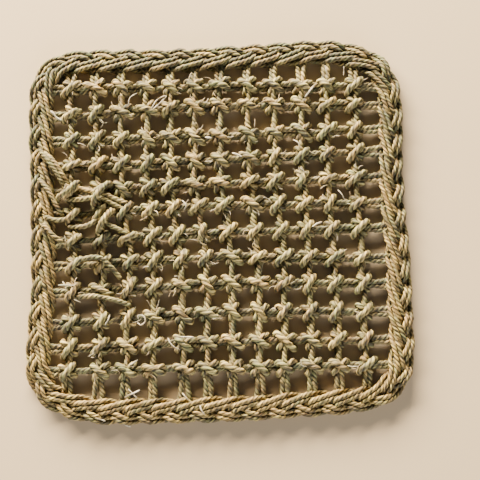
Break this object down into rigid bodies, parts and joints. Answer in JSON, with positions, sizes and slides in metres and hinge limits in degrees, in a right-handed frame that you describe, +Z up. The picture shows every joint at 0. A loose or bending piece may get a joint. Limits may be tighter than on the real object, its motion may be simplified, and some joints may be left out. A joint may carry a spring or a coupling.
{
  "type": "straw pet mat, an open knotted net of twisted straw cord with a plaited border",
  "caption": "Flat, nearly square straw mat with rounded corners: an open net of knotted twisted cord inside a wide plaited border.",
  "frame": {"origin": "middle of the mat on the surface it lies on", "axes": "+X across the mat, +Y up its length, +Z up through its thickness"},
  "size_m": [0.2136, 0.2144, 0.0088],
  "materials": {
    "net_straw": "matte",
    "border_straw": "matte"
  },
  "bodies": {
    "root": {"knotted_net": "net_straw", "border_cord_1": "border_straw", "border_cord_2": "border_straw", "border_cord_3": "border_straw", "border_cord_4": "border_straw"}
  },
  "joints": []
}
